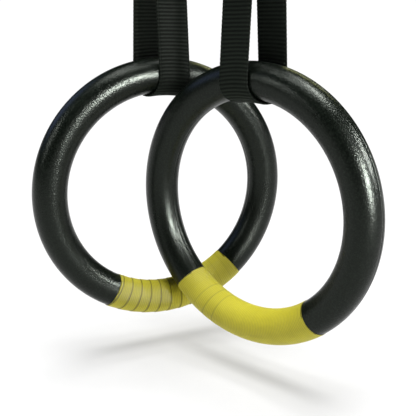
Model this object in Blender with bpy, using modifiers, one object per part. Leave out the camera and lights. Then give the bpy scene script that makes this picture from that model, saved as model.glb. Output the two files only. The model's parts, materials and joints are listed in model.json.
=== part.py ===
"""A pair of gymnastics rings, each hung in a webbing loop with a cam buckle from a swivel.

Both swivels are on one ceiling plate. The origin is at the middle of the plate's top face,
+Z is up, +X runs along the plate from the left ring to the right one, and -Y is the front.
Lengths here are in millimetres and are scaled to metres where a mesh is made.
"""

import math

import bmesh
import bpy
from mathutils import Matrix, Vector

MM = 0.001
GAP = 0.3  # between pieces that touch

# Rings: a hand ring of 30 mm bar, 178 mm inside.
RING_RADIUS = 104.0  # to the middle of the bar
BAR_RADIUS = 15.0
SHELL_WALL = 3.5
LIP_WALL = 1.5  # the front shell's lip, which centres the back shell
LIP_DEPTH = 2.5
TAPE_GAP = 0.2
TAPE_THICKNESS = 0.5
TAPE_CLEARANCE = 0.8  # from the tape to the webbing, which it passes when the ring turns

# Where the two rings hang, and how far each has turned on its swivel.
# slid: how far along the bar the webbing's two legs lie from the middle, each its own way.
SWIVEL_SPACING = 99.0
SIDES = {
    "left": {"x": -SWIVEL_SPACING / 2, "yaw": 63.0, "slid": 6.5, "tape": (240.0, 310.0)},
    "right": {"x": SWIVEL_SPACING / 2, "yaw": -2.0, "slid": -7.0, "tape": (229.5, 309.5)},
}

# Webbing
WEB_WIDTH = 28.0
WEB_THICKNESS = 2.0
CROSSBAR_TO_BAR = 225.0  # height of the crossbar's axis over the ring bar's, when hanging
SLIDE_AT_BUCKLE = 0.7  # share of the slide that is left where the buckle is
SLIDE_EVEN = (92.0, 198.0)  # from this height over the ring bar to that one

# Ceiling plate and swivels, as heights under the ceiling
PLATE_SIZE = (210.0, 60.0, 6.0)
SCREW_HOLE_RADIUS = 3.25
SCREW_HEAD_RADIUS = 6.5
SCREW_SPACING = (190.0, 36.0)
HUB_RADIUS = 17.0
HUB_BOTTOM = 27.0
HUB_FLOOR = 17.0  # the ledge that the swivel's head turns on
HUB_CAVITY_RADIUS = 11.0
STEM_RADIUS = 5.0
STEM_BORE_RADIUS = 5.2
HEAD_RADIUS = 9.5
HEAD_TOP = 9.0
HEAD_BOTTOM = 14.0
WASHER_THICKNESS = 2.0
YOKE_TOP = 29.0
YOKE_THICKNESS = 6.0
YOKE_DEPTH = 14.0
ARM_THICKNESS = 5.0
ARM_GAP = 38.0  # between the yoke's arms
CROSSBAR_DROP = 60.0
CROSSBAR_RADIUS = 5.0
CROSSBAR_BORE_RADIUS = 5.15
ARM_BOTTOM = 68.0
HEX_RADIUS = 8.6  # over the corners of the bolt's head and nut
HEX_HEIGHT = 6.0

# Cam buckle, in its own frame: X across the webbing, Y forwards, Z up along the webbing
BUCKLE_HEIGHT = 114.0  # over the ring bar's axis
FRAME_WIDTH = 37.0
FRAME_WALL = 2.0
FRAME_BOTTOM = -20.0
FRAME_TOP = 28.0
BASE_TOP = 14.0
FRAME_FRONT = 12.0
SEWN_BAR_RADIUS = 2.0
SEWN_BAR_HEIGHT = 24.0
SEWN_BAR_DEPTH = 3.6  # behind the webbing's middle
PIN_RADIUS = 2.0
PIN_BORE_RADIUS = 2.12
PIN_HEIGHT = -4.0
PIN_FORWARD = 7.5
CAM_WIDTH = 21.0
CAM_RADIUS = 5.0
CAM_THROW = 1.6  # from the pin to the middle of the round cam
CAM_ANGLE = 40.0  # the throw points back and this far up, so that a load on the webbing jams it
LEVER_LENGTH = 24.0
LEVER_TOP = 2.5
LEVER_FRONT = 5.2
LEVER_THICKNESS = 2.5
SPRING_RADIUS = 3.2
SPRING_WIRE_RADIUS = 0.5
SPRING_TURNS = 3
SEWN_END = 62.0
SEWN_GAP = 0.3
TAIL_END = 84.0
TAIL_FORWARD = 2.4
KEEPER_FROM = 65.0
KEEPER_TO = 78.0
KEEPER_WALL = 1.2

RING_STEPS = 72
ROUND_STEPS = 24


# ---------------------------------------------------------------- scene and materials


def clear_scene():
    for obj in list(bpy.data.objects):
        bpy.data.objects.remove(obj)


def collection(name):
    made = bpy.data.collections.new(name)
    bpy.context.scene.collection.children.link(made)
    return made


def material(name, colour, roughness, metallic=0.0):
    made = bpy.data.materials.get(name)
    if made:
        return made
    made = bpy.data.materials.new(name)
    made.use_nodes = True
    shader = made.node_tree.nodes["Principled BSDF"]
    shader.inputs["Base Color"].default_value = (*colour, 1.0)
    shader.inputs["Roughness"].default_value = roughness
    shader.inputs["Metallic"].default_value = metallic
    return made


def ring_plastic():
    return material("ring_plastic", (0.012, 0.014, 0.013), 0.38)


def tape_cloth():
    return material("tape_cloth", (0.62, 0.55, 0.05), 0.85)


def webbing_nylon():
    return material("webbing_nylon", (0.02, 0.021, 0.022), 0.75)


def zinc_steel():
    return material("zinc_steel", (0.62, 0.63, 0.64), 0.35, 1.0)


def black_steel():
    return material("black_steel", (0.03, 0.03, 0.032), 0.45, 0.6)


def washer_nylon():
    return material("washer_nylon", (0.75, 0.74, 0.7), 0.5)


# ---------------------------------------------------------------- modelling helpers


def place(obj, parent, look):
    """Puts a new object in the parts' collection, under its parent and with its material."""
    PARTS.objects.link(obj)
    obj.parent = parent
    obj.data.materials.append(look)
    return obj


def from_bmesh(name, shape, parent, look, smooth=True):
    mesh = bpy.data.meshes.new(name)
    bmesh.ops.scale(shape, vec=(MM, MM, MM), verts=shape.verts)
    shape.to_mesh(mesh)
    shape.free()
    if smooth:
        mesh.shade_smooth()
        mesh.set_sharp_from_angle(angle=math.radians(35))
    return place(bpy.data.objects.new(name, mesh), parent, look)


def box(name, low, high, parent, look):
    shape = bmesh.new()
    bmesh.ops.create_cube(shape, size=1.0)
    low, high = Vector(low), Vector(high)
    bmesh.ops.scale(shape, vec=high - low, verts=shape.verts)
    bmesh.ops.translate(shape, vec=(low + high) / 2, verts=shape.verts)
    return from_bmesh(name, shape, parent, look, smooth=False)


def rod(name, radius, start, end, parent, look, steps=ROUND_STEPS):
    """A cylinder between two points."""
    start, end = Vector(start), Vector(end)
    shape = bmesh.new()
    bmesh.ops.create_cone(
        shape, cap_ends=True, segments=steps, radius1=radius, radius2=radius, depth=(end - start).length
    )
    turn = (end - start).to_track_quat("Z", "X").to_matrix().to_4x4()
    bmesh.ops.transform(shape, matrix=Matrix.Translation((start + end) / 2) @ turn, verts=shape.verts)
    return from_bmesh(name, shape, parent, look)


def turned(name, profile, parent, look, steps=ROUND_STEPS, angle=360.0, closed=True):
    """A profile of (radius, height) points turned about Z with a Screw modifier."""
    mesh = bpy.data.meshes.new(name)
    points = [(radius * MM, 0.0, height * MM) for radius, height in profile]
    edges = [(i, i + 1) for i in range(len(points) - 1)]
    if closed:
        edges.append((len(points) - 1, 0))
    mesh.from_pydata(points, edges, [])
    obj = place(bpy.data.objects.new(name, mesh), parent, look)
    screw = obj.modifiers.new("Turn", "SCREW")
    screw.angle = math.radians(angle)
    screw.steps = steps
    screw.render_steps = steps
    screw.use_merge_vertices = angle == 360.0
    screw.merge_threshold = 1e-5
    screw.use_smooth_shade = True
    return obj


def boolean(obj, other, operation):
    """Cuts or joins another object, which stays in the cutters' collection as a wire."""
    PARTS.objects.unlink(other)
    CUTTERS.objects.link(other)
    other.hide_render = True
    other.display_type = "WIRE"
    modifier = obj.modifiers.new(operation.title(), "BOOLEAN")
    modifier.operation = operation
    modifier.object = other
    return obj


def bevel(obj, width, segments=2, angle=40.0):
    modifier = obj.modifiers.new("Bevel", "BEVEL")
    modifier.width = width * MM
    modifier.segments = segments
    modifier.limit_method = "ANGLE"
    modifier.angle_limit = math.radians(angle)
    return obj


def arc(centre, radius, start, end, steps):
    """Points (across, up) of an arc, from one angle in degrees to another, both included."""
    turn = [math.radians(start + (end - start) * i / steps) for i in range(steps + 1)]
    return [(centre[0] + radius * math.cos(t), centre[1] + radius * math.sin(t)) for t in turn]


def empty(name, parent, location, rotation=(0.0, 0.0, 0.0)):
    made = bpy.data.objects.new(name, None)
    PARTS.objects.link(made)
    made.empty_display_size = 0.02
    made.parent = parent
    made.location = Vector(location) * MM
    made.rotation_euler = [math.radians(angle) for angle in rotation]
    return made


# ---------------------------------------------------------------- ceiling plate and swivel


def ceiling_plate():
    length, width, thickness = PLATE_SIZE
    low = (-length / 2, -width / 2, -thickness)
    plate = box("ceiling_plate", low, (length / 2, width / 2, 0.0), None, zinc_steel())
    bevel(plate, 1.0)
    for x in (-SCREW_SPACING[0] / 2, SCREW_SPACING[0] / 2):
        for y in (-SCREW_SPACING[1] / 2, SCREW_SPACING[1] / 2):
            sink = SCREW_HEAD_RADIUS - SCREW_HOLE_RADIUS
            profile = [
                (0.0, 2.0),
                (SCREW_HOLE_RADIUS, 2.0),
                (SCREW_HOLE_RADIUS, sink - thickness),
                (SCREW_HEAD_RADIUS, -thickness),
                (SCREW_HEAD_RADIUS, -thickness - 2.0),
                (0.0, -thickness - 2.0),
            ]
            hole = turned("screw_hole", profile, None, zinc_steel(), closed=False)
            hole.location = (x * MM, y * MM, 0.0)
            boolean(plate, hole, "DIFFERENCE")
    return plate


def swivel_hub(side, parent):
    """A cup welded under the plate, whose floor carries the swivel's head."""
    top = PLATE_SIZE[2] + GAP
    profile = [
        (HUB_CAVITY_RADIUS, -top),
        (HUB_RADIUS, -top),
        (HUB_RADIUS, 1.5 - HUB_BOTTOM),
        (HUB_RADIUS - 1.5, -HUB_BOTTOM),
        (STEM_BORE_RADIUS, -HUB_BOTTOM),
        (STEM_BORE_RADIUS, -HUB_FLOOR),
        (HUB_CAVITY_RADIUS, -HUB_FLOOR),
    ]
    return turned(f"swivel_hub_{side}", profile, parent, zinc_steel())


def thrust_washer(side, parent):
    top = HEAD_BOTTOM + GAP
    profile = [
        (STEM_BORE_RADIUS + 0.2, -top),
        (HEAD_RADIUS, -top),
        (HEAD_RADIUS, -top - WASHER_THICKNESS),
        (STEM_BORE_RADIUS + 0.2, -top - WASHER_THICKNESS),
    ]
    return turned(f"thrust_washer_{side}", profile, parent, washer_nylon())


def swivel_yoke(side, parent):
    """The swivel's head and stem, and the fork whose arms hold the crossbar."""
    half = ARM_GAP / 2 + ARM_THICKNESS
    depth = YOKE_DEPTH / 2
    look = zinc_steel()
    low = (-half, -depth, -YOKE_TOP - YOKE_THICKNESS)
    yoke = bevel(box(f"swivel_yoke_{side}", low, (half, depth, -YOKE_TOP), parent, look), 1.2)
    for sign in (-1, 1):
        near, far = sorted((sign * ARM_GAP / 2, sign * half))
        arm = box("yoke_arm", (near, -depth, -ARM_BOTTOM), (far, depth, -YOKE_TOP - 1.5), parent, look)
        boolean(yoke, bevel(arm, 1.2), "UNION")
    profile = [
        (0.0, -HEAD_TOP),
        (HEAD_RADIUS, -HEAD_TOP),
        (HEAD_RADIUS, -HEAD_BOTTOM),
        (STEM_RADIUS, -HEAD_BOTTOM),
        (STEM_RADIUS, -YOKE_TOP - YOKE_THICKNESS / 2),
        (0.0, -YOKE_TOP - YOKE_THICKNESS / 2),
    ]
    stem = turned("swivel_stem", profile, parent, look, closed=False)
    boolean(yoke, stem, "UNION")
    reach = half + 5.0
    bore = rod(
        "crossbar_bore",
        CROSSBAR_BORE_RADIUS,
        (-reach, 0.0, -CROSSBAR_DROP),
        (reach, 0.0, -CROSSBAR_DROP),
        parent,
        look,
    )
    boolean(yoke, bore, "DIFFERENCE")
    return yoke


def crossbar_bolt(side, parent):
    """A bolt through the yoke's arms, which the webbing hangs over."""
    half = ARM_GAP / 2 + ARM_THICKNESS + GAP
    end = half + HEX_HEIGHT + 2.0
    look = zinc_steel()
    height = -CROSSBAR_DROP
    bolt = rod(f"crossbar_bolt_{side}", CROSSBAR_RADIUS, (-half - 1, 0, height), (end, 0, height), parent, look)
    head = rod("bolt_head", HEX_RADIUS, (-half - HEX_HEIGHT, 0, height), (-half, 0, height), parent, look, 6)
    bevel(bolt, 0.5, 1)
    return boolean(bolt, bevel(head, 0.5, 1), "UNION")


def crossbar_nut(side, parent):
    half = ARM_GAP / 2 + ARM_THICKNESS + GAP
    look = zinc_steel()
    height = -CROSSBAR_DROP
    nut = rod(f"crossbar_nut_{side}", HEX_RADIUS, (half, 0, height), (half + HEX_HEIGHT, 0, height), parent, look, 6)
    bore = rod("nut_bore", CROSSBAR_BORE_RADIUS, (half - 2, 0, height), (half + 10, 0, height), parent, look)
    return boolean(nut, bore, "DIFFERENCE")


# ---------------------------------------------------------------- webbing


def web_radii():
    """Middle of the webbing: how far from the ring bar's axis and from the crossbar's."""
    at_ring = BAR_RADIUS + TAPE_GAP + TAPE_THICKNESS + TAPE_CLEARANCE + WEB_THICKNESS / 2
    at_crossbar = CROSSBAR_RADIUS + GAP + WEB_THICKNESS / 2
    return at_ring, at_crossbar


def front_leg_angle():
    """How far the front leg leans back, in radians: it is tangent to both turns."""
    at_ring, at_crossbar = web_radii()
    return math.asin((at_ring - at_crossbar) / CROSSBAR_TO_BAR)


def ring_turn_drop():
    """The bar curves down to each side of the webbing's middle, so the turn under it is lower."""
    half = WEB_WIDTH / 2
    return RING_RADIUS - math.sqrt(RING_RADIUS**2 - half**2)


def webbing_path():
    """(forward, up) points from the crossbar's axis: the sewn end, the long loop and the tail."""
    at_ring, at_crossbar = web_radii()
    lean = front_leg_angle()
    foot = Vector((at_ring * math.cos(lean), at_ring * math.sin(lean) - CROSSBAR_TO_BAR))
    along = Vector((-math.sin(lean), math.cos(lean)))
    out = Vector((math.cos(lean), math.sin(lean)))
    centre = foot + along * (BUCKLE_HEIGHT - at_ring * math.sin(lean))

    def leg(up, forward):
        return tuple(centre + along * up + out * forward)

    wrap = SEWN_BAR_RADIUS + GAP + WEB_THICKNESS / 2
    sewn = wrap - SEWN_BAR_DEPTH - WEB_THICKNESS - SEWN_GAP
    path = [leg(SEWN_END, sewn), leg(SEWN_BAR_HEIGHT + 12.0, sewn)]
    path += [leg(SEWN_BAR_HEIGHT + 6.0, -SEWN_BAR_DEPTH - wrap + 0.9)]
    for forward, up in arc((-SEWN_BAR_DEPTH, SEWN_BAR_HEIGHT), wrap, 170.0, 360.0, 10):
        path.append(leg(up, forward))
    degrees = math.degrees(lean)
    path += [leg(KEEPER_TO + 6.0, -0.1)]
    path += arc((0.0, 0.0), at_crossbar, degrees, 180.0 - degrees, 12)
    drop = (0.0, -CROSSBAR_TO_BAR - ring_turn_drop())
    path += [(-foot.x, foot.y)]
    path += arc(drop, at_ring, 180.0, 360.0, 18)
    path += [tuple(foot), leg(FRAME_BOTTOM, 0.0), leg(BASE_TOP - 4.0, 0.0)]
    path += [leg(BASE_TOP + 4.0, TAIL_FORWARD * 0.7), leg(BASE_TOP + 8.0, TAIL_FORWARD)]
    path += [leg(TAIL_END, TAIL_FORWARD)]
    return path


def slide_share(forward, up):
    """Where the webbing lies across the bar, as a share of its slide: 1 in front of the ring."""
    at_ring, at_crossbar = web_radii()
    height = up + CROSSBAR_TO_BAR
    if height <= 0.0 or up >= 0.0:
        return forward / at_ring
    top = at_crossbar / at_ring
    if forward < 0.0:
        return -1.0 + (1.0 - top) * height / CROSSBAR_TO_BAR
    even_from, even_to = SLIDE_EVEN
    if height < even_from:
        return 1.0 - (1.0 - SLIDE_AT_BUCKLE) * height / even_from
    if height <= even_to:
        return SLIDE_AT_BUCKLE
    part = (height - even_to) / (CROSSBAR_TO_BAR - even_to)
    return SLIDE_AT_BUCKLE + (top - SLIDE_AT_BUCKLE) * part


def webbing(side, parent, slid):
    """The whole strap: an open ribbon along its path, thickened with Solidify."""
    shape = bmesh.new()
    verts = []
    for forward, up in webbing_path():
        edge = slid * slide_share(forward, up) - WEB_WIDTH / 2
        verts.append(shape.verts.new((edge, -forward, up)))
    edges = [shape.edges.new(pair) for pair in zip(verts, verts[1:])]
    grown = bmesh.ops.extrude_edge_only(shape, edges=edges)["geom"]
    side_verts = [item for item in grown if isinstance(item, bmesh.types.BMVert)]
    bmesh.ops.translate(shape, vec=(WEB_WIDTH, 0.0, 0.0), verts=side_verts)
    strap = from_bmesh(f"strap_webbing_{side}", shape, parent, webbing_nylon())
    thick = strap.modifiers.new("Thickness", "SOLIDIFY")
    thick.thickness = WEB_THICKNESS * MM
    thick.offset = 0.0
    thick.use_even_offset = True
    return strap


def strap_keeper(side, parent):
    """An elastic band that holds the tail against the leg."""
    wall = KEEPER_WALL
    front = TAIL_FORWARD + WEB_THICKNESS / 2 + GAP
    back = -WEB_THICKNESS / 2 - 2 * GAP
    half = WEB_WIDTH / 2 + GAP
    low = (-half - wall, -front - wall, KEEPER_FROM)
    keeper = box(f"strap_keeper_{side}", low, (half + wall, wall - back, KEEPER_TO), parent, webbing_nylon())
    inside = box("keeper_inside", (-half, -front, KEEPER_FROM - 3), (half, -back, KEEPER_TO + 3), parent, webbing_nylon())
    bevel(keeper, 0.4, 1)
    return boolean(keeper, inside, "DIFFERENCE")


# ---------------------------------------------------------------- cam buckle


def buckle_frame(side, parent):
    """A channel behind the webbing, with the bar that the sewn end goes round."""
    half = FRAME_WIDTH / 2
    web = WEB_THICKNESS / 2 + GAP
    look = black_steel()
    low = (-half, web, FRAME_BOTTOM)
    frame = box(f"buckle_frame_{side}", low, (half, web + FRAME_WALL, BASE_TOP), parent, look)
    bevel(frame, 0.5, 1)
    for sign in (-1, 1):
        near, far = sorted((sign * (half - FRAME_WALL), sign * half))
        low = (near, -FRAME_FRONT, FRAME_BOTTOM + 0.5)
        cheek = box("buckle_cheek", low, (far, web + FRAME_WALL + 0.5, FRAME_TOP), parent, look)
        boolean(frame, bevel(cheek, 0.5, 1), "UNION")
    reach = half - FRAME_WALL / 2
    bar = rod(
        "sewn_bar",
        SEWN_BAR_RADIUS,
        (-reach, SEWN_BAR_DEPTH, SEWN_BAR_HEIGHT),
        (reach, SEWN_BAR_DEPTH, SEWN_BAR_HEIGHT),
        parent,
        look,
        12,
    )
    boolean(frame, bar, "UNION")
    bore = rod(
        "pin_bore",
        PIN_BORE_RADIUS,
        (-half - 3.0, -PIN_FORWARD, PIN_HEIGHT),
        (half + 3.0, -PIN_FORWARD, PIN_HEIGHT),
        parent,
        look,
    )
    return boolean(frame, bore, "DIFFERENCE")


def cam_pin(side, parent):
    """A rivet through both cheeks, flush outside, on which the cam turns."""
    half = FRAME_WIDTH / 2 + 1.0
    pin = rod(
        f"cam_pin_{side}",
        PIN_RADIUS,
        (-half, -PIN_FORWARD, PIN_HEIGHT),
        (half, -PIN_FORWARD, PIN_HEIGHT),
        parent,
        zinc_steel(),
    )
    return bevel(pin, 0.4, 1)


def cam_lever(side, parent):
    """The eccentric that pinches the webbing, with its thumb plate. Its origin is on the pin."""
    half = CAM_WIDTH / 2
    look = black_steel()
    name = f"cam_lever_{side}"
    back = CAM_THROW * math.cos(math.radians(CAM_ANGLE))
    up = CAM_THROW * math.sin(math.radians(CAM_ANGLE))
    cam = rod(name, CAM_RADIUS, (-half, back, up), (half, back, up), parent, look, 32)
    low = (-half, -LEVER_FRONT, -LEVER_LENGTH)
    high = (half, LEVER_THICKNESS - LEVER_FRONT, LEVER_TOP)
    thumb = box("thumb_plate", low, high, parent, look)
    bevel(cam, 0.4, 1)
    boolean(cam, bevel(thumb, 0.6), "UNION")
    bore = rod("cam_bore", PIN_BORE_RADIUS, (-half - 3.0, 0, 0), (half + 3.0, 0, 0), parent, look)
    return boolean(cam, bore, "DIFFERENCE")


def cam_spring(side, parent):
    """A torsion spring on the pin, between the cam and the right cheek."""
    start = CAM_WIDTH / 2 + 1.0
    pitch = 2 * SPRING_WIRE_RADIUS + 0.25
    curve = bpy.data.curves.new(f"cam_spring_{side}", "CURVE")
    curve.dimensions = "3D"
    curve.bevel_depth = SPRING_WIRE_RADIUS * MM
    curve.bevel_resolution = 1
    curve.use_fill_caps = True
    per_turn = 14
    count = SPRING_TURNS * per_turn + 1
    line = curve.splines.new("POLY")
    line.points.add(count - 1)
    for i in range(count):
        turn = 2 * math.pi * i / per_turn
        across = start + pitch * i / per_turn
        point = (across, SPRING_RADIUS * math.sin(turn), SPRING_RADIUS * math.cos(turn))
        line.points[i].co = (*(MM * value for value in point), 1.0)
    return place(bpy.data.objects.new(curve.name, curve), parent, zinc_steel())


# ---------------------------------------------------------------- hand ring


def front_shell_profile():
    """Front half of the hollow bar, as (radius, height): height is forwards. Its lip points back."""
    outer = arc((RING_RADIUS, GAP / 2), BAR_RADIUS, 180.0, 0.0, 12)
    inner_radius = BAR_RADIUS - SHELL_WALL
    lip_radius = inner_radius + LIP_WALL
    lip_out = [
        (RING_RADIUS + lip_radius, GAP / 2),
        (RING_RADIUS + lip_radius, -LIP_DEPTH),
        (RING_RADIUS + inner_radius, -LIP_DEPTH),
    ]
    inner = arc((RING_RADIUS, GAP / 2), inner_radius, 0.0, 180.0, 6)
    lip_in = [
        (RING_RADIUS - inner_radius, -LIP_DEPTH),
        (RING_RADIUS - lip_radius, -LIP_DEPTH),
        (RING_RADIUS - lip_radius, GAP / 2),
    ]
    return outer + lip_out + inner + lip_in


def back_shell_profile():
    """Back half, with a step inside its edge that takes the front shell's lip."""
    inner_radius = BAR_RADIUS - SHELL_WALL
    step_radius = inner_radius + LIP_WALL + GAP
    step_depth = LIP_DEPTH + GAP
    outer = arc((RING_RADIUS, -GAP / 2), BAR_RADIUS, 0.0, -180.0, 12)
    step_in = [
        (RING_RADIUS - step_radius, -GAP / 2),
        (RING_RADIUS - step_radius, -step_depth),
    ]
    low = math.degrees(math.asin(step_depth / inner_radius))
    inner = arc((RING_RADIUS, 0.0), inner_radius, low - 180.0, -low, 6)
    step_out = [
        (RING_RADIUS + step_radius, -step_depth),
        (RING_RADIUS + step_radius, -GAP / 2),
    ]
    return outer + step_in + inner + step_out


def grip_tape(side, parent, start, end):
    """Cloth tape wound round the bar, between two angles round the ring."""
    middle = BAR_RADIUS + TAPE_GAP + TAPE_THICKNESS / 2
    profile = arc((RING_RADIUS, 0.0), middle, 180.0, -165.0, 23)
    steps = round((end - start) * RING_STEPS / 360.0)
    tape = turned(f"grip_tape_{side}", profile, parent, tape_cloth(), steps, end - start)
    tape.rotation_euler = (0.0, 0.0, math.radians(start))
    thick = tape.modifiers.new("Thickness", "SOLIDIFY")
    thick.thickness = TAPE_THICKNESS * MM
    thick.offset = 0.0
    return tape


# ---------------------------------------------------------------- one hanging ring


def hanging_ring(side, x, yaw, slid, tape):
    """Everything under one swivel. Each empty stands on a joint's axis."""
    mount = empty(f"mount_{side}", None, (x, 0.0, 0.0))
    swivel_hub(side, mount)

    swivel = empty(f"swivel_{side}", mount, (0.0, 0.0, 0.0), (0.0, 0.0, yaw))
    thrust_washer(side, swivel)
    swivel_yoke(side, swivel)
    crossbar_bolt(side, swivel)
    crossbar_nut(side, swivel)

    swing = empty(f"swing_{side}", swivel, (0.0, 0.0, -CROSSBAR_DROP))
    webbing(side, swing, slid)

    at_ring = web_radii()[0]
    lean = front_leg_angle()
    along = BUCKLE_HEIGHT - at_ring * math.sin(lean)
    forward = at_ring * math.cos(lean) - along * math.sin(lean)
    up = at_ring * math.sin(lean) - CROSSBAR_TO_BAR + along * math.cos(lean)
    place = (slid * SLIDE_AT_BUCKLE, -forward, up)
    buckle = empty(f"buckle_{side}", swing, place, (-math.degrees(lean), 0.0, 0.0))
    buckle_frame(side, buckle)
    cam_pin(side, buckle)
    strap_keeper(side, buckle)
    cam = empty(f"cam_{side}", buckle, (0.0, -PIN_FORWARD, PIN_HEIGHT))
    cam_lever(side, cam)
    cam_spring(side, cam)

    ring = empty(f"ring_{side}", swing, (0.0, 0.0, -CROSSBAR_TO_BAR - RING_RADIUS), (90.0, 0.0, 0.0))
    turned(f"ring_front_{side}", front_shell_profile(), ring, ring_plastic(), RING_STEPS)
    turned(f"ring_back_{side}", back_shell_profile(), ring, ring_plastic(), RING_STEPS)
    grip_tape(side, ring, *tape)


clear_scene()
PARTS = collection("gymnastics_rings")
CUTTERS = collection("cutters")
CUTTERS.hide_render = True
ceiling_plate()
for side_name, hang in SIDES.items():
    hanging_ring(side_name, **hang)
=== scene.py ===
"""Looks for the gymnastics rings: grained rings, wound tape, ribbed webbing and finished metal.

Every piece is made in millimetres in a frame that one of the joints gives, and rides on a body.
"""

import json
import math

import bmesh
import bpy
from mathutils import Matrix, Vector


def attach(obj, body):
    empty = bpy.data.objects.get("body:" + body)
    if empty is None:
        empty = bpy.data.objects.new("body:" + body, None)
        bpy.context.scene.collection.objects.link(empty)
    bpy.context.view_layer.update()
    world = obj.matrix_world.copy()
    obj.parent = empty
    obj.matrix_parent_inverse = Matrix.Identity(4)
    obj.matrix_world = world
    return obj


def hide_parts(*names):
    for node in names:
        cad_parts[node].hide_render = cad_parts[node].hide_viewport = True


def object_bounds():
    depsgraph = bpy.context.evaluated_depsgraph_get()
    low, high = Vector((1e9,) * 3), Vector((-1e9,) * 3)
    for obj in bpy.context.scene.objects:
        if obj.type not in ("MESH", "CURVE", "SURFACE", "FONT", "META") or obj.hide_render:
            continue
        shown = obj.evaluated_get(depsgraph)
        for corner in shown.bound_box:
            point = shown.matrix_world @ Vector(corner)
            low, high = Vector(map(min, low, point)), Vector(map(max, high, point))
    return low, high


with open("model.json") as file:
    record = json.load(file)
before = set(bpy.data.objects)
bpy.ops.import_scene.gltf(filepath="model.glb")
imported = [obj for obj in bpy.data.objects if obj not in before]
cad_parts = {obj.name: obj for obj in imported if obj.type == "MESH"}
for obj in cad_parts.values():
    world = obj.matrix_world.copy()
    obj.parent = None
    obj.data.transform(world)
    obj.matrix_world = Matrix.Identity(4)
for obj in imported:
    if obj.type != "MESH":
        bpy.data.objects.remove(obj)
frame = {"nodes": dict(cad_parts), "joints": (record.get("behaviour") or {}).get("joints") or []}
cad_low, cad_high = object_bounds()

MM = 0.001
SIDES = ("left", "right")
ZINC_PARTS = ("swivel_hub", "swivel_yoke", "crossbar_bolt", "crossbar_nut", "cam_pin", "cam_spring")
COATED_PARTS = ("buckle_frame", "cam_lever")
JOINTS = {joint["name"]: joint for joint in frame["joints"]}

# The ring, as in the CAD model, and the gap and round that show as its seam
BAR_RADIUS = 15.0
RING_RADIUS = 104.0
SHELL_WALL = 3.5
SEAM_GAP = 0.04  # from the seam's middle to each half
SEAM_ROUND = 0.25
RING_STEPS = 240

# Tape: a strip wound round the bar in overlapping turns
TAPE_INNER_RADIUS = 15.12
TAPE_RADIUS = 15.34
TAPE_EDGE = 0.26  # how far each turn stands over the one before
TAPE_PITCH = 10.6
TAPE_LINES = (0.0, 0.03, 0.09, 0.2, 0.4, 0.6, 0.8, 0.93, 0.985)  # mesh lines in a turn
TAPE_AROUND = 72
TAPE_INNER_ROWS = 24
TAPE_END_DROP = 0.12  # how far each end of the tape is pressed down
TAPE_END_LENGTH = 0.8
TAPE_SHADE = 0.7  # how dark the painted shade next to a turn's edge gets, where the edge stands out fully
WEAVE_PITCH = 1.9

# Webbing
WEB_HALF_WIDTH = 14.0
WEB_HALF_THICKNESS = 0.78
WEB_AT_RING = 16.95  # the webbing's middle, from the bar's
WEB_AT_CROSSBAR = 6.3
LEG_AT_RING = 17.5  # from the bar's middle to each leg's
RIB_PITCH = 3.05
RIB_HEIGHT = 0.3
RIB_SAMPLES = 8
SELVEDGE = 1.9
SLID = {"left": 6.5, "right": -7.0}  # how far each leg lies along the bar from its middle
SLIDE_AT_BUCKLE = 0.7  # the share of the slide that is left at the buckle
SLIDE_EVEN = (92.0, 198.0)  # the heights over the bar between which it stays the same

# The buckle's place on the front leg, as in the CAD model
BUCKLE_HEIGHT = 114.0
SEWN_BAR_HEIGHT = 24.0
SEWN_BAR_DEPTH = 3.6
SEWN_WRAP_RADIUS = 3.3
SEWN_LAYER = -2.6
SEWN_END = 62.0
TAIL_FORWARD = 2.4
TAIL_END = 84.0
CAM_FORWARD = 7.5  # the cam's pin stands this far in front of the webbing's middle
CAM_HEIGHT = -4.0

# The elastic keeper in the buckle's frame: its outside, and the knit of its band
KEEPER_FROM = 65.0
KEEPER_TO = 78.0
KEEPER_HALF = 15.5
KEEPER_FRONT = -4.9
KEEPER_BACK = 2.8
KEEPER_CORNER = 1.4
KEEPER_THICKNESS = 1.1
KEEPER_RIB = 1.3
KEEPER_LOOP = 1.1  # the knit's pitch along a rib
KEEPER_STEP = 0.22  # between the mesh's columns round the band
KEEPER_ROWS = 48

# Stitches of the sewn end
STITCH_HALF = 10.0
STITCH_PITCH = 2.6
STITCH_RADIUS = 0.28
STITCH_BOW = 0.25
STITCH_SIDES = 6
# (share of the length, share of the radius, share of the bow) at each ring of a stitch
STITCH_SHAPE = (
    (0.0, 0.35, 0.0),
    (0.25, 0.95, 0.8),
    (0.5, 1.0, 1.0),
    (0.75, 0.95, 0.8),
    (1.0, 0.35, 0.0),
)

# Ridges on the thumb plate, in the cam's frame
RIDGE_COUNT = 6
RIDGE_PITCH = 2.4
RIDGE_LOWEST = -21.5
RIDGE_HALF = 8.5
RIDGE_FOOT = -5.15
RIDGE_TOP = -5.75

# The weld round the top of the hub
WELD_RADIUS = 17.05
WELD_TOP = -6.02
WELD_SIZE = 2.6
WELD_STEPS = 160
WELD_SECTION = (
    (0.0, -0.3),
    (0.0, -WELD_SIZE),
    (0.45 * WELD_SIZE, -0.72 * WELD_SIZE),
    (0.8 * WELD_SIZE, -0.35 * WELD_SIZE),
    (WELD_SIZE, 0.0),
)

# The thread that stands out of the crossbar's nut, along the bolt
THREAD_FROM = 30.0
THREAD_TO = 31.8
THREAD_PITCH = 1.0
THREAD_ROOT = 5.05
THREAD_DEPTH = 0.3
THREAD_STEPS = 24

# Studio, in metres, degrees and watts
CAMERA_AZIMUTH = 38.8
CAMERA_PITCH = 15.0
CAMERA_DISTANCE = 0.586
CAMERA_AIM = (0.0035, 0.0, -0.3979)
CAMERA_LENS = 57.7
FLOOR_DROP = 0.031
FLOOR_HALF = 40.0
LIGHT_DISTANCE = 1.2
WHITE = (1.0, 1.0, 1.0)
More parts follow.
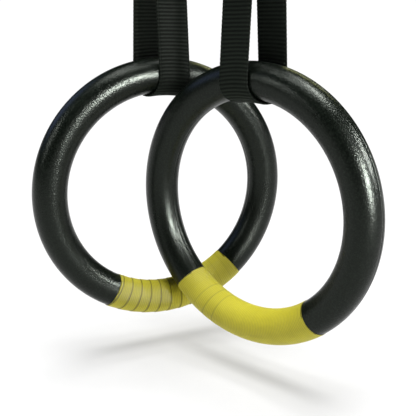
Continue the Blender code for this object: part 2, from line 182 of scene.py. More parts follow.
# Lights that only gloss sees: direction from the aim (right, ahead, up), size, power and colour
GLOSS_LIGHTS = (
    ("key_strip", (0.57, -0.76, 0.27), (0.1, 0.38), 50.0, WHITE),
    ("side_strip", (0.87, -0.22, 0.47), (0.07, 0.42), 22.5, WHITE),
    ("left_strip", (-0.82, -0.38, 0.5), (0.03, 0.4), 2.6, WHITE),
    ("top_panel", (0.23, -0.1, 0.95), (0.25, 0.25), 8.5, WHITE),
    ("soft_top", (0.0, 0.0, 1.0), (0.75, 0.75), 14.0, WHITE),
    ("rim_strip", (0.4, 0.75, 0.62), (0.5, 0.12), 2.0, (0.62, 0.64, 0.3)),
    ("sky_panel", (-0.72, 0.3, 0.55), (0.7, 0.7), 1.7, (0.45, 0.55, 1.0)),
)


# ---------------------------------------------------------------- frames that pieces are made in


def axes(origin, x, y, z):
    """The matrix that takes millimetres along x, y and z to the row frame."""
    turn = Matrix((x, y, z)).transposed()
    return Matrix.Translation(origin) @ turn.to_4x4() @ Matrix.Scale(MM, 4)


class Hang:
    """One hanging ring: the frames of its swivel, strap, buckle and ring."""

    def __init__(self, side):
        swing = JOINTS[f"strap_swing_{side}"]
        spin = JOINTS[f"ring_spin_{side}"]
        cam = JOINTS[f"cam_press_{side}"]
        across = Vector(swing["axis"]).normalized()
        front = Vector(spin["axis"]).normalized()
        up = Vector((0.0, 0.0, 1.0))
        self.side = side
        self.drop = (swing["pos_m"][2] - spin["pos_m"][2]) / MM - RING_RADIUS
        self.strap = axes(Vector(swing["pos_m"]), across, -front, up)
        self.ring = axes(Vector(spin["pos_m"]), across, up, front)
        self.top = axes(Vector((*swing["pos_m"][:2], 0.0)), across, -front, up)
        self.lean = math.asin((LEG_AT_RING - WEB_AT_CROSSBAR) / self.drop)
        leg_up = up * math.cos(self.lean) - front * math.sin(self.lean)
        leg_back = -front * math.cos(self.lean) - up * math.sin(self.lean)
        self.cam = axes(Vector(cam["pos_m"]), across, leg_back, leg_up)
        self.buckle = self.cam @ Matrix.Translation((0.0, CAM_FORWARD, -CAM_HEIGHT))


# ---------------------------------------------------------------- meshes


def placed(name, data):
    """A new object in the scene."""
    obj = bpy.data.objects.new(name, data)
    bpy.context.scene.collection.objects.link(obj)
    return obj


def new_piece(name, points, faces, matrix, body, look, uv=None):
    """A mesh piece, made in matrix's frame. uv holds one pair in millimetres for each point."""
    mesh = bpy.data.meshes.new(name)
    mesh.from_pydata([matrix @ Vector(point) for point in points], [], faces)
    mesh.shade_smooth()
    mesh.set_sharp_from_angle(angle=math.radians(50))
    if uv:
        layer = mesh.uv_layers.new(name="UVMap")
        for loop in mesh.loops:
            layer.data[loop.index].uv = uv[loop.vertex_index]
    mesh.materials.append(look)
    piece = placed(name, mesh)
    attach(piece, body)
    return piece


def tube_faces(rows, around, closed_along, caps):
    """Faces between rows of points, each row a loop of `around` points."""
    faces = []
    last = rows if closed_along else rows - 1
    for i in range(last):
        here = i * around
        there = (i + 1) % rows * around
        for j in range(around):
            k = (j + 1) % around
            faces.append((here + j, here + k, there + k, there + j))
    if caps:
        faces.append(tuple(reversed(range(around))))
        faces.append(tuple(range((rows - 1) * around, rows * around)))
    return faces


def arc(centre, radius, start, end, steps):
    """Points of an arc between two angles in degrees, both included."""
    turns = [math.radians(start + (end - start) * i / steps) for i in range(steps + 1)]
    return [(centre[0] + radius * math.cos(t), centre[1] + radius * math.sin(t)) for t in turns]


def smooth_step(low, high, value):
    t = min(max((value - low) / (high - low), 0.0), 1.0)
    return t * t * (3.0 - 2.0 * t)


# ---------------------------------------------------------------- node materials


class Look:
    """A Principled material and short calls for the nodes that feed it."""

    def __init__(self, name):
        self.material = bpy.data.materials.new(name)
        self.material.use_nodes = True
        self.tree = self.material.node_tree
        self.shader = self.tree.nodes["Principled BSDF"]

    def set(self, **values):
        for name, value in values.items():
            self.shader.inputs[name.replace("_", " ")].default_value = value

    def node(self, kind, inputs=None, **settings):
        made = self.tree.nodes.new(kind)
        for name, value in settings.items():
            setattr(made, name, value)
        for socket, value in (inputs or {}).items():
            if isinstance(value, bpy.types.NodeSocket):
                self.tree.links.new(value, made.inputs[socket])
            else:
                made.inputs[socket].default_value = value
        return made

    def link(self, output, name):
        self.tree.links.new(output, self.shader.inputs[name])

    def object_coordinates(self):
        return self.node("ShaderNodeTexCoord").outputs["Object"]

    def uv_parts(self):
        uv = self.node("ShaderNodeTexCoord").outputs["UV"]
        return self.node("ShaderNodeSeparateXYZ", {0: uv}).outputs

    def math(self, operation, a, b=0.0, c=0.0):
        return self.node("ShaderNodeMath", {0: a, 1: b, 2: c}, operation=operation).outputs[0]

    def noise(self, vector, scale, detail=3.0, roughness=0.5):
        inputs = {"Vector": vector, "Scale": scale, "Detail": detail, "Roughness": roughness}
        return self.node("ShaderNodeTexNoise", inputs).outputs["Fac"]

    def ramp(self, factor, *stops):
        """stops are (position, colour) pairs, a colour being a grey number or (r, g, b)."""
        made = self.node("ShaderNodeValToRGB", {0: factor})
        elements = made.color_ramp.elements
        while len(elements) < len(stops):
            elements.new(0.5)
        for element, (position, colour) in zip(elements, stops):
            element.position = position
            rgb = colour if isinstance(colour, tuple) else (colour,) * 3
            element.color = (*rgb, 1.0)
        return made.outputs[0]

    def mix(self, factor, a, b, blend="MIX"):
        made = self.node("ShaderNodeMix", data_type="RGBA", blend_type=blend)
        for socket, value in ((0, factor), (6, a), (7, b)):
            if isinstance(value, bpy.types.NodeSocket):
                self.tree.links.new(value, made.inputs[socket])
            else:
                made.inputs[socket].default_value = value if socket == 0 else (*value, 1.0)
        return made.outputs[2]

    def bump(self, height, distance, strength=1.0, below=None):
        inputs = {"Height": height, "Distance": distance, "Strength": strength}
        if below:
            inputs["Normal"] = below
        return self.node("ShaderNodeBump", inputs).outputs[0]


def grained_plastic():
    """Black moulded plastic with a leather grain, satin, its colour and shine a little uneven, and
    painted shade in the grain's grooves.
    """
    look = Look("grained_plastic")
    place = look.object_coordinates()
    wander = look.node("ShaderNodeTexNoise", {"Vector": place, "Scale": 420.0, "Detail": 2.0})
    bent = look.mix(0.0016, (0.0, 0.0, 0.0), wander.outputs["Color"])
    cells = look.node("ShaderNodeVectorMath", {0: place, 1: bent}, operation="ADD").outputs[0]
    grain = look.node("ShaderNodeTexVoronoi", {"Vector": cells, "Scale": 680.0, "Randomness": 1.0})
    pebble = look.ramp(grain.outputs["Distance"], (0.15, 1.0), (0.62, 0.0))
    fine = look.noise(place, 2400.0, 3.0, 0.6)
    broad = look.noise(place, 24.0, 4.0)
    height = look.math("MULTIPLY_ADD", fine, 0.5, pebble)
    look.link(look.bump(height, 0.00012, 0.6), "Normal")
    colour = look.mix(broad, (0.0062, 0.0094, 0.0065), (0.011, 0.0151, 0.0111))
    # The grain's grooves are painted darker: painted shade
    look.link(look.mix(pebble, (0.0022, 0.0036, 0.0024), colour), "Base Color")
    shine = look.math("MULTIPLY_ADD", broad, 0.14, 0.165)
    look.link(look.math("MULTIPLY_ADD", fine, 0.1, shine), "Roughness")
    look.set(IOR=1.5, Specular_IOR_Level=0.2, Specular_Tint=(0.91, 1.0, 0.89, 1.0))
    return look.material


def tape_cloth():
    """Yellow cotton tape: a fine weave on the slant, with painted shade where one turn meets the
    next.
    """
    look = Look("tape_cloth")
    across, along, _ = look.uv_parts()
    slant = look.math("MULTIPLY_ADD", along, 0.55, across)
    other = look.math("MULTIPLY_ADD", along, -0.55, across)
    warp = look.math("SINE", look.math("MULTIPLY", slant, 2 * math.pi / WEAVE_PITCH))
    weft = look.math("SINE", look.math("MULTIPLY", other, 2 * math.pi / WEAVE_PITCH))
    weave = look.math("MULTIPLY_ADD", look.math("MULTIPLY", warp, weft), 0.5, 0.5)
    place = look.object_coordinates()
    blotch = look.noise(place, 70.0, 4.0)
    fibre = look.noise(place, 1900.0, 2.0)
    colour = look.mix(blotch, (0.6, 0.54, 0.026), (0.75, 0.68, 0.05))
    colour = look.mix(weave, look.mix(0.6, colour, (0.2, 0.17, 0.012)), colour)
    # Painted shade along the edge of each turn, darkest where the edge stands out most
    painted_lap_shade = look.node("ShaderNodeAttribute", attribute_name="painted_lap_shade").outputs["Fac"]
    colour = look.mix(painted_lap_shade, colour, (0.075, 0.065, 0.01))
    look.link(colour, "Base Color")
    height = look.math("MULTIPLY_ADD", fibre, 0.5, weave)
    soft = look.bump(look.noise(place, 160.0, 3.0), 0.0008, 0.25)
    look.link(look.bump(height, 0.0003, 0.8, soft), "Normal")
    look.link(look.math("MULTIPLY_ADD", blotch, 0.1, 0.46), "Roughness")
    look.set(Specular_IOR_Level=0.25, Sheen_Weight=0.05, Sheen_Roughness=0.4)
    return look.material


def ribbed_webbing():
    """Black nylon webbing: the ribs are in the mesh, the yarns over them are here, and the colour
    is painted lighter on the rib crests and darker in the troughs, as painted light and shade.
    """
    look = Look("ribbed_webbing")
    across, along, _ = look.uv_parts()
    rib = look.math("MULTIPLY", along, 2 * math.pi / RIB_PITCH)
    crest = look.math("MULTIPLY_ADD", look.math("COSINE", rib), 0.5, 0.5)
    row = look.math("FLOOR", look.math("ADD", look.math("DIVIDE", along, RIB_PITCH), 0.5))
    offset = look.math("MULTIPLY_ADD", row, 0.5, look.math("DIVIDE", across, 1.15))
    yarn = look.math("ABSOLUTE", look.math("SINE", look.math("MULTIPLY", offset, math.pi)))
    place = look.object_coordinates()
    fibre = look.noise(place, 2300.0, 2.0)
    worn = look.noise(place, 45.0, 4.0)
    # The colour in the rib troughs carries painted shade, and the colour on the crests carries
    # painted light
    trough_shade_colour = look.mix(worn, (0.0064, 0.0082, 0.0064), (0.009, 0.0113, 0.009))
    light = look.mix(worn, (0.019, 0.0243, 0.0185), (0.0265, 0.0333, 0.0257))
    # Lighter on the rib crests, a painted light, and lighter on each yarn, the yarn's own pattern
    crest_light_and_yarn = look.math("MULTIPLY", crest, look.math("MULTIPLY_ADD", yarn, 0.45, 0.55))
    look.link(look.mix(look.math("POWER", crest_light_and_yarn, 1.2), trough_shade_colour, light), "Base Color")
    height = look.math("MULTIPLY_ADD", fibre, 0.35, yarn)
    look.link(look.bump(height, 0.00014, 0.6), "Normal")
    shine = look.math("MULTIPLY_ADD", crest_light_and_yarn, -0.3, 0.7)
    look.link(look.math("MULTIPLY_ADD", fibre, 0.15, shine), "Roughness")
    look.set(Specular_IOR_Level=0.032, Specular_Tint=(0.91, 1.0, 0.89, 1.0))
    return look.material


def elastic():
    """Black knitted elastic: its ribs are in the mesh, the rubber shows grey between them."""
    look = Look("elastic")
    up, along, _ = look.uv_parts()
    rib = look.math("COSINE", look.math("MULTIPLY", up, 2 * math.pi / KEEPER_RIB))
    groove = look.math("MULTIPLY_ADD", rib, 0.5, 0.5)
    turn = look.math("MULTIPLY", along, 2 * math.pi / KEEPER_LOOP)
    loops = look.math("ABSOLUTE", look.math("SINE", turn))
    place = look.object_coordinates()
    fibre = look.noise(place, 2100.0, 2.0)
    worn = look.noise(place, 60.0, 4.0)
    yarn = look.mix(worn, (0.006, 0.0075, 0.006), (0.012, 0.014, 0.012))
    yarn = look.mix(loops, look.mix(0.5, yarn, (0.002, 0.002, 0.002)), yarn)
    look.link(look.mix(groove, yarn, (0.012, 0.0125, 0.012)), "Base Color")
    height = look.math("MULTIPLY_ADD", fibre, 0.4, loops)
    look.link(look.bump(height, 0.00012, 0.6), "Normal")
    look.link(look.math("MULTIPLY_ADD", fibre, 0.2, 0.6), "Roughness")
    look.set(Specular_IOR_Level=0.05, Sheen_Weight=0.02, Sheen_Roughness=0.4)
    return look.material


def thread():
    """Bonded polyester thread."""
    look = Look("thread")
    place = look.object_coordinates()
    ply = look.noise(place, 1500.0, 2.0)
    look.link(look.mix(ply, (0.03, 0.033, 0.03), (0.075, 0.08, 0.072)), "Base Color")
    look.link(look.bump(ply, 0.0001, 0.6), "Normal")
    look.set(Roughness=0.5, Sheen_Weight=0.2)
    return look.material


def zinc_steel():
    """Bright zinc plate: fine spangle, brushed lines and dulled patches."""
    look = Look("zinc_steel")
    place = look.object_coordinates()
    patch = look.noise(place, 35.0, 5.0, 0.6)
    stretched = look.node("ShaderNodeMapping", {"Vector": place, "Scale": (30.0, 30.0, 900.0)})
    lines = look.noise(stretched.outputs[0], 1.0, 3.0)
    spangle = look.node("ShaderNodeTexVoronoi", {"Vector": place, "Scale": 420.0}).outputs["Color"]
    grey = look.mix(patch, (0.25, 0.255, 0.27), (0.37, 0.37, 0.365))
    look.link(look.mix(0.12, grey, spangle, "SOFT_LIGHT"), "Base Color")
    shine = look.math("MULTIPLY_ADD", patch, 0.2, 0.3)
    look.link(look.math("MULTIPLY_ADD", lines, 0.12, shine), "Roughness")
    look.link(look.bump(lines, 0.00006, 0.5), "Normal")
    look.set(Metallic=1.0)
    return look.material


def black_coat():
    """Black powder coat on steel: orange peel, with bare metal where edges rub."""
    look = Look("black_coat")
    place = look.object_coordinates()
    peel = look.noise(place, 900.0, 2.0)
    rub = look.noise(place, 260.0, 5.0, 0.7)
    edge = look.node("ShaderNodeBevel", {"Radius": 0.0006}, samples=4).outputs[0]
    flat = look.node("ShaderNodeNewGeometry").outputs["Normal"]
    bend = look.node("ShaderNodeVectorMath", {0: edge, 1: flat}, operation="DOT_PRODUCT")
    corner = look.ramp(bend.outputs["Value"], (0.8, 1.0), (0.985, 0.0))
    worn = look.math("MULTIPLY", corner, look.ramp(rub, (0.5, 0.0), (0.62, 1.0)))
    look.link(look.mix(worn, (0.012, 0.0125, 0.013), (0.36, 0.355, 0.35)), "Base Color")
    look.link(worn, "Metallic")
    look.link(look.math("MULTIPLY_ADD", peel, 0.15, 0.42), "Roughness")
    look.set(Specular_IOR_Level=0.25)
    look.link(look.bump(peel, 0.00008, 0.5), "Normal")
    return look.material


def nylon():
    """Natural nylon washer, slightly yellowed."""
    look = Look("natural_nylon")
    place = look.object_coordinates()
    tone = look.noise(place, 120.0, 4.0)
    look.link(look.mix(tone, (0.42, 0.4, 0.33), (0.52, 0.5, 0.44)), "Base Color")
    look.link(look.bump(look.noise(place, 1400.0, 2.0), 0.00005, 0.4), "Normal")
    look.set(Roughness=0.5, Specular_IOR_Level=0.4, Subsurface_Weight=0.1)
    return look.material


# ---------------------------------------------------------------- ring


def bar_profile(sign):
    """One half of the hollow bar as (radius, height), with a small round at its seam."""
    rounded = math.degrees(SEAM_ROUND / BAR_RADIUS)
    inner = BAR_RADIUS - SHELL_WALL
    outline = [(BAR_RADIUS - SEAM_ROUND, 0.0)]
    outline += arc((0.0, 0.0), BAR_RADIUS, rounded, 180.0 - rounded, 40)
    outline += [(SEAM_ROUND - BAR_RADIUS, 0.0), (-inner, 0.0)]
    outline += arc((0.0, 0.0), inner, 175.0, 5.0, 16)
    outline += [(inner, 0.0)]
    return [(RING_RADIUS + x, sign * (y + SEAM_GAP)) for x, y in outline]


def ring_half(hang, name, node, sign, look):
    """One half of the ring, in place of its node; sign is 1 for the front and -1 for the back."""
    profile = bar_profile(sign)
    points = []
    for i in range(RING_STEPS):
        turn = 2 * math.pi * i / RING_STEPS * sign
        points += [(r * math.cos(turn), r * math.sin(turn), h) for r, h in profile]
    faces = tube_faces(RING_STEPS, len(profile), True, False)
    piece = new_piece(name, points, faces, hang.ring, f"ring_{hang.side}", look)
    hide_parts(node)


# ---------------------------------------------------------------- tape


def turn_height(phase, strength):
    """The tape's surface over its thinnest, through one turn of the winding."""
    return TAPE_EDGE * strength * (1.0 - smooth_step(0.0, 0.85, phase))


def tape_span(side):
    """The CAD tape's first and last angle round the ring, in degrees, from its mesh."""
    back = HANGS[side].ring.inverted()
    angles = []
    for vertex in frame["nodes"][f"grip_tape_{side}"].data.vertices:
        place = back @ vertex.co
        angles.append(math.degrees(math.atan2(place.y, place.x)) % 360.0)
    return min(angles), max(angles)


def edge_strength(side, share):
    """How far a turn's edge stands out, by its share of the way along the tape."""
    if side == "left":
        return 1.0 - 0.85 * smooth_step(0.8, 0.86, share)
    return 0.04 + 0.46 * smooth_step(0.12, 0.2, share) * (1.0 - smooth_step(0.3, 0.38, share))


def wound_tape(hang, look):
    """The tape: outside, the mesh's lines follow the winding, so that each edge is sharp."""
    side = hang.side
    first, last = (math.radians(angle) for angle in tape_span(side))
    length = (last - first) * RING_RADIUS
    turns = int(length / TAPE_PITCH) + 2
    lines = [turn + part for turn in range(turns) for part in TAPE_LINES]
    points, uv, painted_lap_shade = [], [], []
    for line in lines:
        for j in range(TAPE_AROUND + 1):
            lag = 1.0 - j / TAPE_AROUND
            along = min(max((line - lag) * TAPE_PITCH, 0.0), length)
            phase = (along / TAPE_PITCH + lag) % 1.0
            if 0.0 < along < length:
                phase = line % 1.0
            share = along / length
            strength = edge_strength(side, share)
            radius = TAPE_RADIUS + turn_height(phase, strength)
            to_end = min(along, length - along)
            radius -= TAPE_END_DROP * (1.0 - smooth_step(0.0, TAPE_END_LENGTH, to_end))
            round_bar = 2 * math.pi * j / TAPE_AROUND
            points.append(on_bar(first + along / RING_RADIUS, round_bar, radius))
            uv.append((round_bar * BAR_RADIUS, along))
            # Painted shade just below where the next turn's edge stands over this one
            painted_lap_shade.append(strength * TAPE_SHADE if phase > 0.9 else 0.0)
    columns = TAPE_AROUND + 1
    faces = grid_faces(len(lines), columns)
    start = len(points)
    for i in range(TAPE_INNER_ROWS + 1):
        along = length * i / TAPE_INNER_ROWS
        for j in range(columns):
            round_bar = 2 * math.pi * j / TAPE_AROUND
            points.append(on_bar(first + along / RING_RADIUS, round_bar, TAPE_INNER_RADIUS))
            uv.append((round_bar * BAR_RADIUS, along))
            painted_lap_shade.append(0.0)
    for face in grid_faces(TAPE_INNER_ROWS + 1, columns):
        faces.append(tuple(start + k for k in reversed(face)))
    outer_end = (len(lines) - 1) * columns
    inner_end = start + TAPE_INNER_ROWS * columns
    for j in range(TAPE_AROUND):
        faces.append((j + 1, j, start + j, start + j + 1))
        faces.append((outer_end + j, outer_end + j + 1, inner_end + j + 1, inner_end + j))
    name = f"wound_tape_{side}"
    piece = new_piece(name, points, faces, hang.ring, f"ring_{side}", look, uv)
    # The painted shade goes to the material as a point attribute
    shade = piece.data.attributes.new("painted_lap_shade", "FLOAT", "POINT")
    shade.data.foreach_set("value", painted_lap_shade)
    weld(piece)
    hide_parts(f"grip_tape_{side}")


def on_bar(round_ring, round_bar, radius):
    """The point at an angle round the ring, an angle round its bar and a radius of the bar."""
    out = RING_RADIUS + radius * math.cos(round_bar)
    return (out * math.cos(round_ring), out * math.sin(round_ring), radius * math.sin(round_bar))


def grid_faces(rows, columns):
    faces = []
    for i in range(rows - 1):
        for j in range(columns - 1):
            a = i * columns + j
            faces.append((a, a + columns, a + columns + 1, a + 1))
    return faces


def weld(piece):
    """Joins points that meet, and drops the faces that this leaves without an area."""
    shape = bmesh.new()
    shape.from_mesh(piece.data)
    bmesh.ops.remove_doubles(shape, verts=shape.verts, dist=2e-6)
    bmesh.ops.dissolve_degenerate(shape, edges=shape.edges, dist=1e-6)
    shape.to_mesh(piece.data)
    shape.free()


# ---------------------------------------------------------------- webbing


def leg_point(hang, up, forward):
    """(forward, up) from the crossbar, of a point in the buckle's frame on the front leg."""
    foot = (LEG_AT_RING * math.cos(hang.lean), LEG_AT_RING * math.sin(hang.lean) - hang.drop)
    rise = up + BUCKLE_HEIGHT - LEG_AT_RING * math.sin(hang.lean)
    along = (-math.sin(hang.lean), math.cos(hang.lean))
    out = (math.cos(hang.lean), math.sin(hang.lean))
    return tuple(foot[i] + along[i] * rise + out[i] * forward for i in (0, 1))


def webbing_route(hang):
    """The strap's middle line from the sewn end to the tail, as in the CAD model."""
    degrees = math.degrees(hang.lean)
    route = [
        leg_point(hang, SEWN_END, SEWN_LAYER),
        leg_point(hang, SEWN_BAR_HEIGHT + 12.0, SEWN_LAYER),
        leg_point(hang, SEWN_BAR_HEIGHT + 6.0, 0.9 - SEWN_BAR_DEPTH - SEWN_WRAP_RADIUS),
    ]
    for forward, up in arc((-SEWN_BAR_DEPTH, SEWN_BAR_HEIGHT), SEWN_WRAP_RADIUS, 170.0, 360.0, 24):
        route.append(leg_point(hang, up, forward))
    route += [leg_point(hang, 84.0, -0.1)]
    route += arc((0.0, 0.0), WEB_AT_CROSSBAR, degrees, 180.0 - degrees, 32)
    route += arc((0.0, -hang.drop), WEB_AT_RING, 180.0 - degrees, 360.0 + degrees, 64)
    route += [leg_point(hang, -20.0, 0.0), leg_point(hang, 10.0, 0.0)]
    route += [leg_point(hang, 18.0, TAIL_FORWARD * 0.7), leg_point(hang, 22.0, TAIL_FORWARD)]
    route += [leg_point(hang, TAIL_END, TAIL_FORWARD)]
    return route


def evenly(route, step):
    """Points a step apart along a line of points, each with the length up to it."""
    found = [(route[0], 0.0)]
    total = 0.0
    wanted = step
    for (ax, ay), (bx, by) in zip(route, route[1:]):
        span = math.hypot(bx - ax, by - ay)
        while wanted <= total + span and span > 0.0:
            t = (wanted - total) / span
            found.append(((ax + (bx - ax) * t, ay + (by - ay) * t), wanted))
            wanted += step
        total += span
    return found


def eased(route, rounds):
    """The same line with its corners rounded."""
    for _ in range(rounds):
        middle = [
            tuple((a[i] + 2 * b[i] + c[i]) / 4 for i in (0, 1))
            for a, b, c in zip(route, route[1:], route[2:])
        ]
        route = [route[0], *middle, route[-1]]
    return route


def web_section(along):
    """The webbing's cut face at a length along it, as (across, out) points."""
    crest = (0.5 + 0.5 * math.cos(2 * math.pi * along / RIB_PITCH)) ** 0.6
    ribbed = WEB_HALF_WIDTH - SELVEDGE
    top_out = WEB_HALF_THICKNESS + RIB_HEIGHT * crest
    face = [(share * ribbed, top_out) for share in (-1.0, -0.66, -0.33, 0.0, 0.33, 0.66, 1.0)]
    bead = 0.12 * crest
    edge = [
        (ribbed + 0.25, WEB_HALF_THICKNESS - 0.12),
        (ribbed + 0.9, WEB_HALF_THICKNESS + 0.1 + bead),
        (WEB_HALF_WIDTH - 0.35 + bead, 0.62 + bead),
        (WEB_HALF_WIDTH + bead, 0.0),
    ]
    right = face + edge
    mirrored = [(-across, out) for across, out in reversed(edge[:-1])]
    top = mirrored + right
    bottom = [(-across, -out) for across, out in top]
    return top + bottom


def slide_share(hang, forward, up):
    """Where the webbing lies across the bar, as a share of its slide, as in the CAD model."""
    height = up + hang.drop
    top = WEB_AT_CROSSBAR / LEG_AT_RING
    if height <= 0.0 or up >= 0.0:
        return max(-1.0, min(1.0, forward / LEG_AT_RING))
    if forward < 0.0:
        return -1.0 + (1.0 - top) * height / hang.drop
    even_from, even_to = SLIDE_EVEN
    if height < even_from:
        return 1.0 - (1.0 - SLIDE_AT_BUCKLE) * height / even_from
    part = max(height - even_to, 0.0) / (hang.drop - even_to)
    return SLIDE_AT_BUCKLE + (top - SLIDE_AT_BUCKLE) * part


def webbing(hang, look):
    """The ribbed strap, swept along its route and hugging the ring where it goes under it."""
    coarse = [point for point, _ in evenly(webbing_route(hang), 1.0)]
    fine = evenly(eased(coarse, 3), RIB_PITCH / RIB_SAMPLES)
    points, uv = [], []
    for i, ((forward, up), along) in enumerate(fine):
        before = fine[max(i - 1, 0)][0]
        after = fine[min(i + 1, len(fine) - 1)][0]
        span = math.hypot(after[0] - before[0], after[1] - before[1])
        slope = ((after[0] - before[0]) / span, (after[1] - before[1]) / span)
        normal = (slope[1], -slope[0])
        height = up + hang.drop
        slid = SLID[hang.side] * slide_share(hang, forward, up)
        hug = 1.0 - smooth_step(2.0, 60.0, height)
        for across, out in web_section(along):
            x = across + slid
            sag = hug * (RING_RADIUS - math.sqrt(RING_RADIUS**2 - x**2))
            points.append((x, -(forward + normal[0] * out), up + normal[1] * out - sag))
            uv.append((across, along))
    around = len(web_section(0.0))
    faces = tube_faces(len(fine), around, False, True)
    side = hang.side
    name = f"ribbed_strap_{side}"
    piece = new_piece(name, points, faces, hang.strap, f"strap_{side}", look, uv)
    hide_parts(f"strap_webbing_{side}")


def stitch_points(start, end, bow):
    """A short bead of thread between two points, standing out along Y by its bow."""
    start, end = Vector(start), Vector(end)
    along = (end - start).normalized()
    beside = along.cross(Vector((0.0, 1.0, 0.0))).normalized()
    out = Vector((0.0, math.copysign(1.0, bow), 0.0))
    rings = []
    for t, thick, lift in STITCH_SHAPE:
        middle = start.lerp(end, t) + out * abs(bow) * lift
        for k in range(STITCH_SIDES):
            angle = 2 * math.pi * k / STITCH_SIDES
            aside = beside * math.cos(angle) + out * math.sin(angle)
            rings.append(middle + aside * STITCH_RADIUS * thick)
    return rings


def sewn_end(hang, look):
    """The boxed cross that is sewn through both layers, seen on the back and on the front."""
    half, low, high = STITCH_HALF, SEWN_BAR_HEIGHT + 15.0, SEWN_END - 3.0
    corners = [(-half, low), (half, low), (half, high), (-half, high)]
    lines = list(zip(corners, corners[1:] + corners[:1]))
    lines += [(corners[0], corners[2]), (corners[1], corners[3])]
    stitch_faces = tube_faces(len(STITCH_SHAPE), STITCH_SIDES, False, True)
    points, faces = [], []
    back = -SEWN_LAYER + WEB_HALF_THICKNESS + RIB_HEIGHT * 0.8
    front = 0.3 - WEB_HALF_THICKNESS - RIB_HEIGHT * 0.8
    for level, bow in ((back, STITCH_BOW), (front, -STITCH_BOW)):
        for (ax, az), (bx, bz) in lines:
            length = math.hypot(bx - ax, bz - az)
            count = round(length / STITCH_PITCH)
            for i in range(count):
                t0, t1 = (i + 0.12) / count, (i + 0.88) / count
                ends = [(ax + (bx - ax) * t, level, az + (bz - az) * t) for t in (t0, t1)]
                start = len(points)
                points += stitch_points(*ends, bow)
                faces += [tuple(start + k for k in face) for face in stitch_faces]
    name, body = f"sewn_cross_{hang.side}", f"strap_{hang.side}"
    new_piece(name, points, faces, hang.buckle, body, look)


def keeper_loop():
    """The keeper's outer line as (x, y) points, round its four corners."""
    corners = (
        (KEEPER_HALF, KEEPER_BACK),
        (-KEEPER_HALF, KEEPER_BACK),
        (-KEEPER_HALF, KEEPER_FRONT),
        (KEEPER_HALF, KEEPER_FRONT),
    )
    line = []
    for quarter, (x, y) in enumerate(corners):
        inner = (x - math.copysign(KEEPER_CORNER, x), y - math.copysign(KEEPER_CORNER, y))
        line += arc(inner, KEEPER_CORNER, 90.0 * quarter, 90.0 * quarter + 90.0, 5)
    line = [point for point, _ in evenly([*line, line[0]], KEEPER_STEP)]
    return line[:-1] if math.dist(line[0], line[-1]) < 0.12 else line


def elastic_keeper(hang, look):
    """The elastic band round the tail: knitted ribs along it, drawn in a little at its edges."""
    line = keeper_loop()
    height = KEEPER_TO - KEEPER_FROM
    points, uv = [], []
    for i, (x, y) in enumerate(line):
        before, after = line[i - 1], line[(i + 1) % len(line)]
        span = math.dist(before, after)
        out = ((after[1] - before[1]) / span, (before[0] - after[0]) / span)
        for j in range(KEEPER_ROWS + 1):
            up = height * j / KEEPER_ROWS
            rib = 0.5 - 0.5 * math.cos(2 * math.pi * up / KEEPER_RIB)
            stagger = 0.5 * (int(up / KEEPER_RIB) % 2)
            loop = i * KEEPER_STEP / KEEPER_LOOP + stagger
            knit = 0.5 + 0.5 * math.cos(2 * math.pi * loop)
            drawn = 0.18 * (1.0 - smooth_step(0.0, 1.2, min(up, height - up)))
            lift = 0.3 * rib * (0.55 + 0.45 * knit) - 0.32 - drawn
            points.append((x + out[0] * lift, y + out[1] * lift, KEEPER_FROM + up))
            uv.append((up, i * KEEPER_STEP))
        inner = (x - out[0] * KEEPER_THICKNESS, y - out[1] * KEEPER_THICKNESS)
        for up in (height, 0.0):
            points.append((*inner, KEEPER_FROM + up))
            uv.append((up, i * KEEPER_STEP))
    faces = tube_faces(len(line), KEEPER_ROWS + 3, True, False)
    name, body = f"elastic_keeper_{hang.side}", f"strap_{hang.side}"
    piece = new_piece(name, points, faces, hang.buckle, body, look, uv)
    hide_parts(f"strap_keeper_{hang.side}")


# ---------------------------------------------------------------- finish of the metal


def tooth_rows(hang, look):
    """Ridges on the thumb plate, which a thumb pushes against."""
    ridge_faces = tube_faces(4, 4, False, True)
    points, faces = [], []
    for i in range(RIDGE_COUNT):
        z = RIDGE_LOWEST + RIDGE_PITCH * i
        section = [
            (RIDGE_FOOT, z - 0.7),
            (RIDGE_TOP, z - 0.25),
            (RIDGE_TOP, z + 0.25),
            (RIDGE_FOOT, z + 0.7),
        ]
        start = len(points)
        for x in (-RIDGE_HALF, -RIDGE_HALF + 0.5, RIDGE_HALF - 0.5, RIDGE_HALF):
            rise = 0.4 if abs(x) == RIDGE_HALF else 1.0
            points += [(x, RIDGE_FOOT + (y - RIDGE_FOOT) * rise, up) for y, up in section]
        faces += [tuple(start + k for k in face) for face in ridge_faces]
    name, body = f"thumb_ridges_{hang.side}", f"cam_{hang.side}"
    new_piece(name, points, faces, hang.cam, body, look)


def weld_bead(hang, look):
    """The fillet weld round the top of the hub, with the ripples of its beads."""
    points = []
    for i in range(WELD_STEPS):
        turn = 2 * math.pi * i / WELD_STEPS
        ripple = 1.0 + 0.1 * math.sin(turn * 34) + 0.05 * math.sin(turn * 7 + 1.0)
        for r, h in WELD_SECTION:
            out = WELD_RADIUS + r * ripple
            up = WELD_TOP + min(h * ripple, 0.0)
            points.append((out * math.cos(turn), out * math.sin(turn), up))
    faces = tube_faces(WELD_STEPS, len(WELD_SECTION), True, False)
    name = f"weld_bead_{hang.side}"
    new_piece(name, points, faces, hang.top, "mount", look)


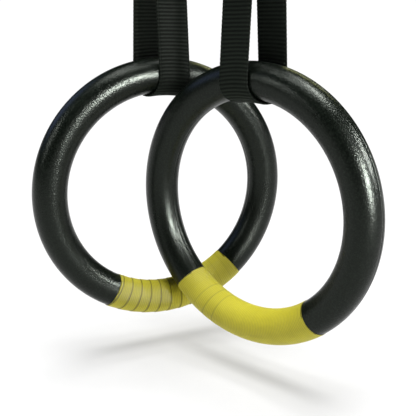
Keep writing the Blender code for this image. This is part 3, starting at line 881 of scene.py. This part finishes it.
def bolt_thread(hang, look):
    """The thread that stands out of the crossbar's nut."""
    rows = int((THREAD_TO - THREAD_FROM) / (THREAD_PITCH / 4))
    points = []
    for i in range(rows + 1):
        for j in range(THREAD_STEPS):
            turn = 2 * math.pi * j / THREAD_STEPS
            x = THREAD_FROM + i * THREAD_PITCH / 4
            phase = (x / THREAD_PITCH + j / THREAD_STEPS) % 1.0
            radius = THREAD_ROOT + THREAD_DEPTH * (1.0 - abs(2 * phase - 1.0))
            points.append((x, radius * math.cos(turn), radius * math.sin(turn)))
    faces = tube_faces(rows + 1, THREAD_STEPS, False, True)
    name, body = f"bolt_thread_{hang.side}", f"swivel_{hang.side}"
    new_piece(name, points, faces, hang.strap, body, look)


def dress(node, look):
    """Gives a CAD node its material, and smooth shading that keeps its edges."""
    obj = frame["nodes"][node]
    obj.data.materials.clear()
    obj.data.materials.append(look)
    obj.data.shade_smooth()
    obj.data.set_sharp_from_angle(angle=math.radians(32))


# ---------------------------------------------------------------- studio


def area_light(name, place, aim, size, power):
    light = bpy.data.lights.new(name, "AREA")
    light.shape = "RECTANGLE"
    light.size, light.size_y = size
    light.energy = power
    obj = placed(name, light)
    obj.location = place
    obj.rotation_euler = (Vector(aim) - Vector(place)).to_track_quat("-Z", "Y").to_euler()
    return obj


def studio():
    """A pale floor, soft light and the camera, placed by the direction that it looks in."""
    azimuth, pitch = math.radians(CAMERA_AZIMUTH), math.radians(CAMERA_PITCH)
    aim = Vector(CAMERA_AIM)
    ahead = Vector((-math.sin(azimuth), math.cos(azimuth), 0.0))
    right = Vector((math.cos(azimuth), math.sin(azimuth), 0.0))
    up = Vector((0.0, 0.0, 1.0))
    look = ahead * math.cos(pitch) - up * math.sin(pitch)

    lens = bpy.data.cameras.new("camera")
    lens.lens = CAMERA_LENS
    lens.sensor_width = 36.0
    lens.clip_start = 0.01
    camera = placed("camera", lens)
    camera.location = aim - look * CAMERA_DISTANCE
    camera.rotation_euler = (math.pi / 2 - pitch, 0.0, azimuth)
    bpy.context.scene.camera = camera

    mesh = bpy.data.meshes.new("floor")
    low = cad_low.z - FLOOR_DROP
    signs = ((-1, -1), (1, -1), (1, 1), (-1, 1))
    mesh.from_pydata([(x * FLOOR_HALF, y * FLOOR_HALF, low) for x, y in signs], [], [(0, 1, 2, 3)])
    paper = Look("floor")
    grain = paper.noise(paper.object_coordinates(), 60.0)
    paper.link(paper.mix(grain, (0.25, 0.25, 0.25), (0.27, 0.27, 0.27)), "Base Color")
    paper.set(Roughness=0.95, Emission_Color=(1.0, 1.0, 1.0, 1.0), Emission_Strength=0.528)
    mesh.materials.append(paper.material)
    placed("floor", mesh)

    for name, (sideways, forwards, height), size, power, colour in GLOSS_LIGHTS:
        toward = (right * sideways + ahead * forwards + up * height).normalized()
        light = area_light(name, aim + toward * LIGHT_DISTANCE, aim, size, power)
        light.data.color = colour
        light.visible_diffuse = False
        light.visible_camera = False

    sun = bpy.data.lights.new("overhead", "SUN")
    sun.energy = 6.6
    sun.angle = math.radians(38)
    placed("overhead", sun).visible_glossy = False

    world = bpy.data.worlds.new("world")
    world.use_nodes = True
    background = world.node_tree.nodes["Background"].inputs
    background["Color"].default_value = (1.0, 1.0, 1.0, 1.0)
    background["Strength"].default_value = 1.05
    world.cycles_visibility.diffuse = False
    world.cycles_visibility.glossy = False
    bpy.context.scene.world = world
    bpy.context.scene.view_settings.view_transform = "Standard"


HANGS = {side: Hang(side) for side in SIDES}
PLASTIC = grained_plastic()
TAPE = tape_cloth()
WEBBING = ribbed_webbing()
ELASTIC = elastic()
THREAD = thread()
ZINC = zinc_steel()
COAT = black_coat()
NYLON = nylon()

studio()
dress("ceiling_plate", ZINC)
for hang in HANGS.values():
    side = hang.side
    ring_half(hang, f"ring_shell_front_{side}", f"ring_front_{side}", 1, PLASTIC)
    ring_half(hang, f"ring_shell_back_{side}", f"ring_back_{side}", -1, PLASTIC)
    wound_tape(hang, TAPE)
    webbing(hang, WEBBING)
    elastic_keeper(hang, ELASTIC)
    sewn_end(hang, THREAD)
    tooth_rows(hang, COAT)
    weld_bead(hang, ZINC)
    bolt_thread(hang, ZINC)
    for part in ZINC_PARTS:
        dress(f"{part}_{side}", ZINC)
    for part in COATED_PARTS:
        dress(f"{part}_{side}", COAT)
    dress(f"thrust_washer_{side}", NYLON)

bpy.context.view_layer.update()
